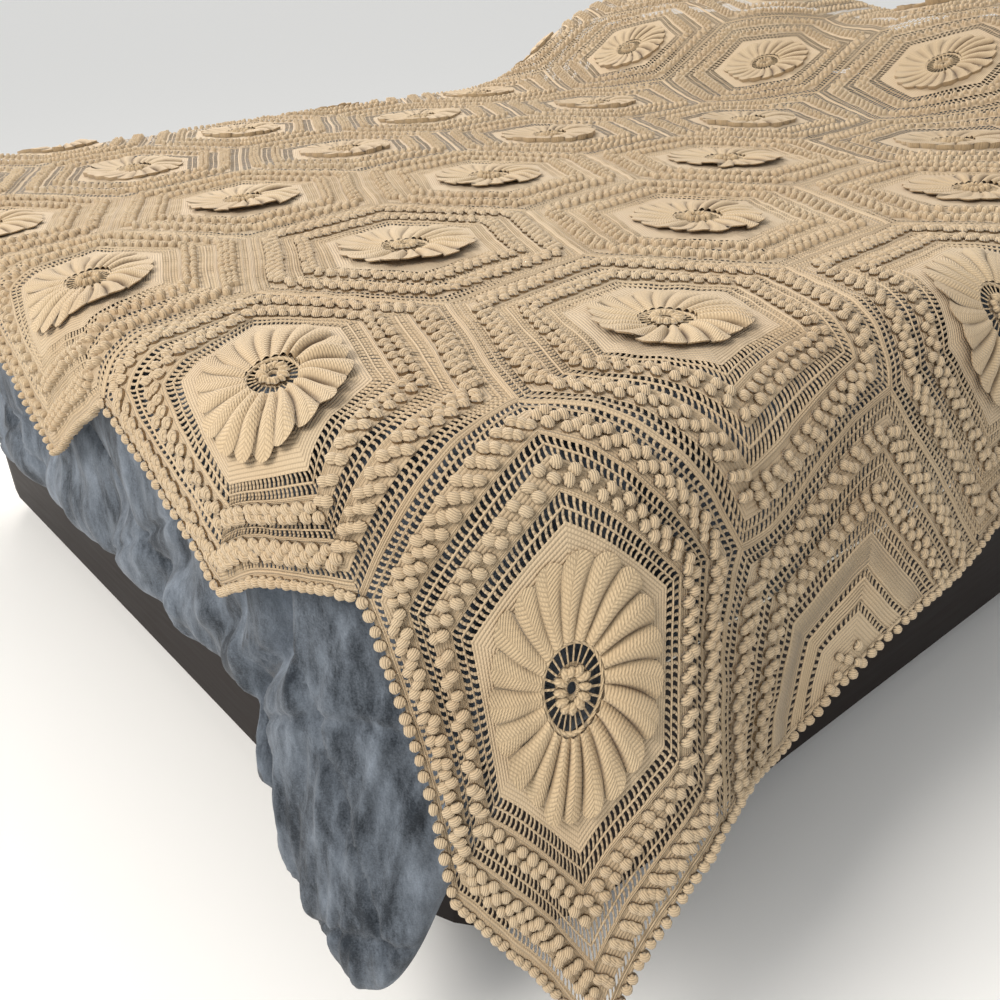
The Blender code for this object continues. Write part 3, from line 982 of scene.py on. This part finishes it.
@dataclass(frozen=True)
class Plush:
    """Brushed polyester plush: soft pile that shades where it is stroked."""

    light: str = "79828D"
    dark: str = "252B32"
    stroke_m: float = 0.035       # width of a stroked streak
    pile_mm: float = 1.6          # tufts; single hairs are too fine to show

    def make(self) -> bpy.types.Material:
        """Makes the material: stroked streaks, tufts and a soft sheen.

        Returns:
            The material.
        """
        made, tree, shader = new_material("brushed plush")
        place = add(tree, "ShaderNodeTexCoord")
        stretched = add(tree, "ShaderNodeMapping", {"Vector": place.outputs["Object"],
                                                    "Scale": (1.0, 1.0, 0.34)})
        warp = add(tree, "ShaderNodeTexNoise", {"Vector": stretched.outputs[0],
                                                "Scale": 0.95 / self.stroke_m, "Detail": 9.0,
                                                "Roughness": 0.70, "Distortion": 0.1})
        streak = add(tree, "ShaderNodeMapRange", {"Value": warp.outputs["Fac"], "From Min": 0.38,
                                                  "From Max": 0.70})
        tuft = add(tree, "ShaderNodeTexNoise", {"Vector": place.outputs["Object"],
                                                "Scale": 1.0 / (self.pile_mm * MM),
                                                "Detail": 2.0})
        grain = compute(tree, "MULTIPLY_ADD", tuft.outputs["Fac"], 0.5, streak.outputs[0])
        mix = compute(tree, "SUBTRACT", grain, 0.25, clamp=True)
        colour = add(tree, "ShaderNodeMix", {"Factor": mix, 6: linear(self.dark),
                                             7: linear(self.light)}, data_type="RGBA")
        bump = add(tree, "ShaderNodeBump", {"Height": grain, "Strength": 0.5,
                                            "Distance": 0.0015})
        surface(tree, shader, colour, bump)
        shader.inputs["Roughness"].default_value = 0.9
        shader.inputs["Specular IOR Level"].default_value = 0.2
        shader.inputs["Sheen Weight"].default_value = 0.12
        shader.inputs["Sheen Roughness"].default_value = 0.5
        return made


@dataclass(frozen=True)
class PlainCloth:
    """A plain woven cotton or ticking: a fine even weave, matt."""

    name: str
    colour: str
    shadow: str
    thread_mm: float = 1.2        # a 0.4 mm thread is too fine to show, so drawn coarser

    def make(self) -> bpy.types.Material:
        """Makes the material: two crossed sets of threads.

        Returns:
            The material.
        """
        made, tree, shader = new_material(self.name)
        place = add(tree, "ShaderNodeTexCoord")
        pace = 1.0 / (self.thread_mm * MM) / BAND_WAVE
        sets = [add(tree, "ShaderNodeTexWave", {"Vector": place.outputs["Object"], "Scale": pace,
                                                "Distortion": 0.4}, bands_direction=axis)
                for axis in ("X", "Y")]
        weave = compute(tree, "MULTIPLY", *(threads.outputs["Fac"] for threads in sets))
        tone = add(tree, "ShaderNodeTexNoise", {"Vector": place.outputs["Object"], "Scale": 6.0})
        colour = add(tree, "ShaderNodeMix", {"Factor": tone.outputs["Fac"],
                                             6: linear(self.colour), 7: linear(self.shadow)},
                     data_type="RGBA")
        bump = add(tree, "ShaderNodeBump", {"Height": weave, "Strength": 0.3,
                                            "Distance": 0.0004})
        surface(tree, shader, colour, bump)
        shader.inputs["Roughness"].default_value = 0.85
        shader.inputs["Sheen Weight"].default_value = 0.1
        return made


@dataclass(frozen=True)
class DarkWood:
    """Dark wood under a satin varnish: straight grain, soft gloss.  Its near-black colour is partly
    the wood's own dark brown and partly painted shade.
    """

    # near-black colours, partly the wood's own dark brown and partly painted shade
    light: str = "1C100B"
    dark: str = "0D0705"
    grain_mm: float = 7.0

    def make(self) -> bpy.types.Material:
        """Makes the material: long grain along the boards.

        Returns:
            The material.
        """
        made, tree, shader = new_material("dark stained wood")
        place = add(tree, "ShaderNodeTexCoord")
        along = add(tree, "ShaderNodeMapping", {"Vector": place.outputs["Object"],
                                                "Scale": (0.06, 0.06, 1.0)})
        grain = add(tree, "ShaderNodeTexNoise", {"Vector": along.outputs[0],
                                                 "Scale": 1.0 / (self.grain_mm * MM),
                                                 "Detail": 5.0, "Roughness": 0.65})
        colour = add(tree, "ShaderNodeMix", {"Factor": grain.outputs["Fac"],
                                             6: linear(self.dark), 7: linear(self.light)},
                     data_type="RGBA")
        rough = add(tree, "ShaderNodeMapRange", {"Value": grain.outputs["Fac"], "To Min": 0.50,
                                                 "To Max": 0.70})
        bump = add(tree, "ShaderNodeBump", {"Height": grain.outputs["Fac"], "Strength": 0.25,
                                            "Distance": 0.0006})
        surface(tree, shader, colour, bump)
        tree.links.new(rough.outputs[0], shader.inputs["Roughness"])
        shader.inputs["Specular IOR Level"].default_value = 0.2
        return made


@dataclass(frozen=True)
class PaintedFloor:
    """A plain pale floor: matt white paint."""

    colour: str = "FAFAF8"

    def make(self) -> bpy.types.Material:
        """Makes the material, of one even colour.

        Returns:
            The material.
        """
        made, _, shader = new_material("matt white floor")
        shader.inputs["Base Color"].default_value = linear(self.colour)
        shader.inputs["Roughness"].default_value = 0.9
        return made


# --- sub-assemblies -------------------------------------------------------------


@dataclass
class Bedspread:
    """The bedspread: seven rows of motifs, joined and hemmed."""

    drape: Drape
    rows: int = 7
    columns: int = 6
    fine_within: float = 3.2        # distance from the near foot corner, in motif sides
    middle_within: float = 5.6
    warp: float = 0.0022            # how far hand work wanders from the true hexagons
    warp_runs: tuple = (0.16, 0.15)
    unevenness: float = 0.0007
    unevenness_run: float = 0.05
    pull_from: float = 0.35         # share of a motif's reach where a pull starts to fade
    pull_run: float = 0.62
    # a few motifs hang or lie pulled: by half columns and rows from the near foot
    # corner, the stretch across, along, and the lean
    pulls: dict = field(default_factory=lambda: {
        (0, 0): (0.97, 1.10, 0.0), (-2, 0): (0.98, 1.0, -0.42), (-1, 1): (0.93, 0.93, 0.0),
        (-4, 0): (0.97, 1.0, -0.30)})

    def finish(self) -> dict:
        """Makes the three cotton surfaces of the bedspread.

        Returns:
            The material of each layer.
        """
        return {"cloth": CrochetCotton(Stitch.ROWS).make(),
                "bobbles": CrochetCotton(Stitch.WOUND, relief_mm=0.8, groove_shade=0.28).make(),
                "flowers": CrochetCotton(Stitch.HERRINGBONE, light="CCB897", dark="BBA17D",
                                         relief_mm=0.9, groove_shade=0.34).make()}

    def motifs_of(self, row: int) -> list:
        """The motifs of one row.

        Args:
            row: Counted from the foot, from 0.

        Returns:
            For each, its place in motif sides, its sectors, its hem sides and
            whether it is a half.
        """
        whole = (0, 60, 120, 180, 240, 300)
        hem_of_row = (240, 300) if row == 0 else (60, 120) if row == self.rows - 1 else ()
        if row % 2 == 0:
            return [(-k * ROOT3, 1.5 * row, whole,
                     hem_of_row + ((0,) if k == 0 else (180,) if k == self.columns - 1 else ()),
                     False) for k in range(self.columns)]
        inner = [(-ROOT3 / 2 - k * ROOT3, 1.5 * row, whole, (), False)
                 for k in range(self.columns - 1)]
        return inner + [(ROOT3 / 2, 1.5 * row, (120, 180, 240), (), True),
                        (ROOT3 / 2 - self.columns * ROOT3, 1.5 * row, (300, 0, 60), (), True)]

    def fineness_at(self, a: float, b: float) -> Fineness:
        """How finely the motif at a place is worked.

        Args:
            a: Its column place, in motif sides.
            b: Its row place.

        Returns:
            The fineness.
        """
        away = math.hypot(a, b)
        if away < self.fine_within:
            return Fineness.FINE
        return Fineness.MIDDLE if away < self.middle_within else Fineness.PLAIN

    def pulled(self, points: Array, pull: tuple) -> Array:
        """Pulls a motif's middle out of shape, less and less towards its joins.

        Args:
            points: The flat points.
            pull: Stretch across, stretch along, and sideways lean.

        Returns:
            The flat points, moved.
        """
        across, along, lean = pull
        x, y = points[:, 0], points[:, 1]
        reach = np.max([x * math.cos(k * math.pi / 3) + y * math.sin(k * math.pi / 3)
                        for k in range(6)], axis=0) / (self.drape.motif_side * ROOT3 / 2)
        keep = 1.0 - smooth((reach - self.pull_from) / self.pull_run)
        moved = points.copy()
        moved[:, 0] += keep * ((across - 1.0) * x + lean * y)
        moved[:, 1] += keep * (along - 1.0) * y
        return moved

    def on_bed(self, work: FlatWork, a: float, b: float) -> Array:
        """Lays one motif's flat work on the bed.

        Args:
            work: The flat work.
            a: The motif's column place, in motif sides.
            b: Its row place.

        Returns:
            The points on the bed.
        """
        side = self.drape.motif_side
        points, anchors = np.concatenate(work.points), np.concatenate(work.anchors)
        stand = points.copy()
        stand[:, :2] -= anchors
        pull = self.pulls.get((round(2 * a / ROOT3), round(b / 1.5)))
        if pull:
            anchors = self.pulled(anchors, pull)
        u = (a + self.columns * ROOT3 / 2 - ROOT3 / 2) * side + anchors[:, 0]
        v = b * side * self.drape.ease + anchors[:, 1] * self.drape.ease
        wander_u, wander_v = (self.warp * waves(u / run, v / run, seed)
                              for run, seed in zip(self.warp_runs, (11, 12)))
        stand[:, 2] += self.unevenness * waves(u / self.unevenness_run, v / self.unevenness_run, 13)
        return self.drape.place(u + wander_u, v + wander_v, stand)

    def build(self) -> None:
        """Makes and dresses the pieces of every row."""
        finish = self.finish()
        for row in range(self.rows):
            layers = {"cloth": FlatWork(), "bobbles": FlatWork(), "flowers": FlatWork()}
            for k, (a, b, sectors, hems, half) in enumerate(self.motifs_of(row)):
                seed = 10 * row + k
                dice = np.random.default_rng(seed)
                motif = Motif(self.fineness_at(a, b), sectors, hems, half, seed,
                              pleat_towards=0.6 + dice.normal(0.0, 0.35),
                              lift_towards=-0.8 + dice.normal(0.0, 0.35),
                              flower_mm=84.0 + dice.normal(0.0, 2.0))
                if half:
                    self.hem_half(motif)
                for name, work in (("cloth", motif.ground), ("bobbles", motif.bobbles),
                                   ("flowers", motif.flower)):
                    if work.count:
                        layers[name].join(work, self.on_bed(work, a, b))
            made = {name: work.to_object(f"{name}_row_{row + 1}") for name, work in layers.items()}
            for name, piece in made.items():
                piece.data.materials.append(finish[name])
                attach(piece, "root")
                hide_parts("bedspread")

    def hem_half(self, motif: Motif) -> None:
        """The straight hem along a half motif's long side.

        Args:
            motif: The half motif, whose centre lies on the hem.
        """
        outwards = 1.0 if 180 in motif.sectors else -1.0
        side_mm = self.drape.motif_side / MM
        t = np.linspace(-side_mm, side_mm, 61)[None, None, :]
        # rows of distance, height and painted shade, in mm
        profile = np.array(((-4.0, 1.2, 0.2), (-1.5, 2.2, 0.0), (1.0, 0.6, 0.4)))[None, :, :, None]
        x = outwards * (profile[:, :, 0] + 0.0 * t)
        points = np.stack([x, t + 0.0 * x, profile[:, :, 1] + 0.0 * t], -1) * MM
        motif.ground.add(points, np.stack([x, t + 0.0 * x, profile[:, :, 2] + 0.0 * t], -1))
        count = round(2.0 * side_mm / motif.edge_pitch_mm)
        t = -side_mm + 2.0 * side_mm * (np.arange(count) + 0.5) / count
        motif.add_bobbles(np.full(count, outwards * 1.5), t, math.pi / 2, motif.edge_bobble_mm, 0.0)
        motif.ground.face_up()
        motif.bobbles.face_up()


@dataclass
class Comforter:
    """The plush comforter: one filled body with soft folds and quilting."""

    drape: Drape
    thick: float = 0.032
    gap: float = 0.012              # bedspread's thickness, clear space and swells
    tuck_side: float = 0.024
    tuck_foot: float = 0.008
    side: float = 0.240
    foot: float = 0.300
    head: float = 2.030
    corner: float = 0.140
    puff: float = 0.012
    lobe: float = 0.150             # the near corner hangs lower, past a cleft
    lobe_from: float = 0.585
    lobe_run: float = 0.060
    crease: float = 0.0045
    quilt_pitch: float = 0.30
    quilt_depth: float = 0.0055
    quilt_seam: float = 0.007
    border: float = 0.045
    under: float = 0.98             # the plain under side, a little flatter than the top
    # place across the foot, half-width, depth of the trough
    troughs: tuple = (
        (-0.70, 0.030, 0.020), (-0.52, 0.036, 0.014), (-0.33, 0.030, 0.018),
        (-0.12, 0.040, 0.013), (0.08, 0.030, 0.018), (0.29, 0.034, 0.014),
        (0.43, 0.028, 0.017), (0.565, 0.022, 0.012), (0.660, 0.022, 0.030))
    lines: tuple = (341, 88, 22)    # grid lines across, down the foot, along the top

    def flat(self) -> tuple:
        """The flat grid of the comforter, its foot corners rounded.

        Returns:
            Places across and along, and the distance to the nearest edge.
        """
        half = self.drape.edge_x + self.side
        foot = self.drape.edge_foot - self.foot
        across, down, along = self.lines
        bend = self.drape.edge_foot + self.drape.plan_corner
        u = np.linspace(-half, half, across)
        v = np.concatenate([np.linspace(foot, bend, down),
                            np.linspace(bend, self.head, along)[1:]])
        uu, vv = np.meshgrid(u, v, indexing="ij")
        to_edge = np.minimum(half - np.abs(uu), np.minimum(vv - foot, self.head - vv))
        into_x = np.clip(np.abs(uu) - (half - self.corner), 0.0, None)
        into_foot = np.clip(foot + self.corner - vv, 0.0, None)
        both = (into_x > 0) & (into_foot > 0)
        shrink = np.where(both, np.maximum(into_x, into_foot)
                          / np.maximum(np.hypot(into_x, into_foot), 1e-9), 1.0)
        uu = uu - np.sign(uu) * into_x * (1.0 - shrink)
        vv = vv + into_foot * (1.0 - shrink)
        below = np.clip((bend - vv) / (self.drape.plan_corner + self.foot), 0.0, 1.0)
        vv = vv - self.lobe * below * smooth((uu - self.lobe_from) / self.lobe_run)
        return uu, vv, to_edge

    def seam(self, place: Array) -> Array:
        """Depth of one set of quilted seams.

        Args:
            place: Places across the seams.

        Returns:
            The depth at each place.
        """
        pitch = self.quilt_pitch
        away = np.abs((place / pitch + 0.5) % 1.0 - 0.5) * pitch
        return self.quilt_depth * np.exp(-(away / self.quilt_seam) ** 2)

    def build(self) -> None:
        """Makes and dresses the comforter."""
        uu, vv, to_edge = self.flat()
        _, hang, bearing = self.drape.lay(uu, vv, top_layer=False)
        plain, _, _, normal = self.drape.frame_at(
            lambda u, v: self.drape.lay(u, v, top_layer=False)[0], uu, vv)
        on_foot = np.sin(bearing) ** 2
        growth = np.clip(hang / self.drape.full_drop, 0.0, 1.0)
        tuck = (self.tuck_side * (1.0 - on_foot) + self.tuck_foot * on_foot) * growth ** 1.5
        inwards = self.gap + tuck

        lean = 0.05 * waves(vv / 0.22, uu / 0.9, 21)
        trough = Drape.folds(self.troughs, uu + lean * growth) * smooth(growth) * on_foot
        swell = self.puff * smooth((hang - 0.20) / 0.06) * on_foot ** 4
        creases = self.crease * growth * (waves(uu / 0.060, vv / 0.30, 22)
                                     + 0.5 * waves(uu / 0.030, vv / 0.10, 23))
        quilting = self.seam(uu * 0.8 + vv * 1.25) + self.seam(uu * 0.8 - vv * 1.25)
        full = np.sqrt(1.0 - (1.0 - np.clip(to_edge / self.border, 0.0, 1.0)) ** 2)
        middle = inwards + self.thick / 2
        depth = self.thick / 2 * full
        outer = middle - depth + (trough + creases - swell + quilting) * full
        inner = middle + depth * self.under
        work = FlatWork()
        for skin, keep in ((outer, 1), (inner, -1)):
            points = (plain - normal * skin[..., None])[None]
            marks = np.stack([uu, vv, to_edge], -1)[None]
            work.add(points[:, ::keep], marks[:, ::keep])
        piece = work.to_object("comforter_plush")
        piece.data.materials.append(Plush().make())
        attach(piece, "root")
        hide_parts("comforter")


@dataclass
class Pillow:
    """One plain pillow: crowned, with drawn-in sides and a stitched edge."""

    node: str
    square: float = 3.8
    wider: float = 0.008
    pucker: float = 0.012
    puckers: int = 17
    around: int = 72
    rings: int = 15

    def build(self, finish: bpy.types.Material) -> None:
        """Makes and dresses the pillow.

        Args:
            finish: The pillow's cloth.
        """
        low, high = (np.array(corner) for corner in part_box(self.node))
        middle, half = (low + high) / 2, (high - low) / 2
        turn = np.linspace(0.0, 2.0 * math.pi, self.around, endpoint=False)
        rise = np.linspace(-1.0, 1.0, self.rings)
        reach = ((np.abs(np.cos(turn)) ** self.square + np.abs(np.sin(turn)) ** self.square)
                 ** (-1.0 / self.square))
        flat = np.sqrt(np.clip(1.0 - np.abs(rise) ** 2.4, 0.0015, 1.0))
        flat = np.where(np.abs(rise) < 0.01, 1.0, flat * 0.985)
        radius = flat[:, None] * reach[None, :]
        pucker = 1.0 + (self.pucker * np.sin(turn * self.puckers)[None, :]
                        * np.abs(flat[:, None]) ** 6)
        x = middle[0] + (half[0] + self.wider) * radius * pucker * np.cos(turn)[None, :]
        y = middle[1] + half[1] * radius * pucker * np.sin(turn)[None, :]
        z = middle[2] + half[2] * rise[:, None] + 0.0 * x
        points = np.stack([x, y, np.maximum(z, low[2] + 0.0005)], -1)[None]
        work = FlatWork()
        work.add(points, points / MM, closed=True, cap=True)
        work.faces.append(np.arange(self.around)[None, ::-1])
        piece = work.to_object(self.node + "_cover")
        piece.data.materials.append(finish)
        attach(piece, "root")
        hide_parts(self.node)


@dataclass
class Mattress:
    """The mattress: rounded panels and side, with piping at both edges."""

    node: str = "mattress"
    corner: float = 0.150
    edge: float = 0.030
    piping: float = 0.006
    around: int = 160

    def outline(self, inset: float) -> tuple:
        """The rounded outline of the mattress, drawn in by an amount.

        Args:
            inset: How far in.

        Returns:
            x and y of the outline's points.
        """
        low, high = (np.array(corner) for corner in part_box(self.node))
        middle, half = (low + high) / 2, (high - low) / 2 - inset
        corner = self.corner - inset
        turn = np.linspace(0.0, 2.0 * math.pi, self.around, endpoint=False) + 1e-4
        cx = np.sign(np.cos(turn)) * (half[0] - corner)
        cy = np.sign(np.sin(turn)) * (half[1] - corner)
        return middle[0] + cx + corner * np.cos(turn), middle[1] + cy + corner * np.sin(turn)

    def build(self) -> None:
        """Makes and dresses the mattress."""
        low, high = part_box(self.node)
        bottom, top = low[2], high[2]
        e, p = self.edge, self.piping
        # height, inset: panel, piping, soft side, piping, panel
        table = [(bottom, 0.30), (bottom, e), (bottom + 0.3 * e, 0.3 * e), (bottom + e, p),
                 (bottom + e + p, 0.0), (bottom + e + 2 * p, p)]
        table += [(bottom + e + 3 * p, 1.6 * p), (top - e - 3 * p, 1.6 * p),
                  (top - e - 2 * p, p), (top - e - p, 0.0), (top - e, p)]
        table += [(top - 0.3 * e, 0.3 * e), (top, e), (top, 0.30)]
        rows = []
        for z, inset in table:
            x, y = self.outline(min(inset, self.corner - 0.01))
            rows.append(np.stack([x, y, np.full_like(x, z)], -1))
        points = np.array(rows)[None]
        work = FlatWork()
        work.add(points, points / MM, closed=True, cap=True)
        work.faces.append(np.arange(self.around)[None, ::-1])
        piece = work.to_object("mattress_cover")
        piece.data.materials.append(PlainCloth("mattress ticking", "DAD6CC", "C9C4B8").make())
        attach(piece, "root")
        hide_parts(self.node)


@dataclass
class Studio:
    """The floor, the soft lights and the camera."""

    floor_size: float = 160.0
    camera_at: tuple = (1.2666, -1.2989, 0.8795)
    yaw: float = -51.5
    pitch: float = 28.1
    roll: float = -3.0
    lens: float = 37.08

    def floor(self) -> None:
        """Lays the plain pale floor."""
        half = self.floor_size / 2
        mesh = bpy.data.meshes.new("floor")
        mesh.from_pydata([(-half, -half, 0.0), (half, -half, 0.0), (half, half, 0.0),
                          (-half, half, 0.0)], [], [(0, 1, 2, 3)])
        made = bpy.data.objects.new("floor", mesh)
        bpy.context.scene.collection.objects.link(made)
        mesh.materials.append(PaintedFloor().make())

    def light(self, name: str, at: tuple, size: float, power: float, colour: str) -> None:
        """Adds one soft light that looks at the middle of the bed.

        Args:
            name: The light's name.
            at: Where it hangs.
            size: Side of its panel.
            power: In watts.
            colour: Its colour.
        """
        lamp = bpy.data.lights.new(name, "AREA")
        lamp.size = size
        lamp.energy = power
        lamp.color = linear(colour)[:3]
        made = bpy.data.objects.new(name, lamp)
        made.location = at
        towards = Vector((0.0, 0.0, 0.5)) - Vector(at)
        made.rotation_euler = towards.to_track_quat("-Z", "Y").to_euler()
        bpy.context.scene.collection.objects.link(made)

    def camera(self) -> None:
        """Sets the camera."""
        yaw, pitch, roll = (math.radians(a) for a in (self.yaw, self.pitch, self.roll))
        ahead = Vector((math.sin(yaw) * math.cos(pitch), math.cos(yaw) * math.cos(pitch),
                        -math.sin(pitch)))
        right = ahead.cross(Vector((0.0, 0.0, 1.0))).normalized()
        up = right.cross(ahead)
        turned_right = math.cos(roll) * right + math.sin(roll) * up
        turned_up = -math.sin(roll) * right + math.cos(roll) * up
        data = bpy.data.cameras.new("camera")
        data.lens = self.lens
        data.sensor_width = 36.0
        made = bpy.data.objects.new("camera", data)
        axes = Matrix((turned_right, turned_up, -ahead)).transposed().to_4x4()
        made.matrix_world = Matrix.Translation(self.camera_at) @ axes
        bpy.context.scene.collection.objects.link(made)
        bpy.context.scene.camera = made

    def build(self) -> None:
        """Sets up the whole studio."""
        self.camera()
        self.floor()
        self.light("window light", (-3.2, 0.4, 2.6), 1.1, 135.0, "FFF8F0")
        self.light("foot light", (0.6, -3.0, 2.7), 1.5, 90.0, "FFF9F2")
        bpy.context.scene.view_settings.view_transform = "Standard"
        world = bpy.data.worlds.new("studio")
        world.use_nodes = True
        back = world.node_tree.nodes["Background"]
        back.inputs["Color"].default_value = linear("FFFFFF")
        back.inputs["Strength"].default_value = 0.72
        bpy.context.scene.world = world


def dress_base() -> None:
    """Gives the bed base its dark wood, partly painted shade."""
    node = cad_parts["bed_base"]
    wood = DarkWood().make()
    for slot in node.material_slots:
        slot.material = wood
    LOG.info("bed_base: dark wood, partly painted shade")


def main() -> None:
    """Builds the bed from the base up, then the studio round it."""
    logging.basicConfig(level=logging.INFO, format="%(name)s %(message)s")
    drape = Drape()
    Studio().build()
    dress_base()
    Mattress().build()
    Comforter(drape).build()
    pillow_cloth = PlainCloth("pillow cotton", "A3957E", "93866F").make()
    for node in ("pillow_far", "pillow_near"):
        Pillow(node).build(pillow_cloth)
    Bedspread(drape).build()


if __name__ == "__main__":
    main()
